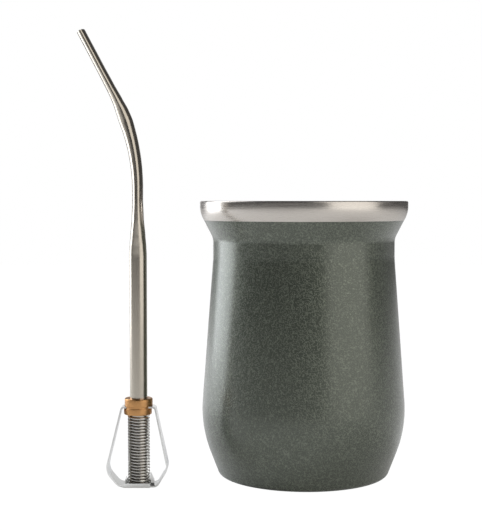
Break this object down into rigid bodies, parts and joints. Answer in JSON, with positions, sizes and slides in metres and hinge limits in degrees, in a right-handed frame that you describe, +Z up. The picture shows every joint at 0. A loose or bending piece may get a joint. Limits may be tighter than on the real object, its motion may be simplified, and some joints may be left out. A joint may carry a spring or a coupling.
{
  "type": "mate cup with filter straw",
  "caption": "Stainless steel mate cup with a hammered green finish and a bare steel rim, with its bent metal filter straw standing beside it.",
  "frame": {"origin": "centre of the cup's flat base", "axes": "+Z up along the cup's axis; +X to the right and the straw at -X; -Y is the front"},
  "size_m": [0.1241, 0.08, 0.1686],
  "materials": {
    "green_paint": "hammered, semi-gloss",
    "steel": "brushed",
    "brass": "turned"
  },
  "bodies": {
    "root": {"cup_shell": "green_paint", "cup_liner": "steel", "straw_tube": "steel", "filter_spring": "steel", "collar_lower": "brass", "collar_upper": "brass", "filter_frame": "steel"}
  },
  "joints": []
}
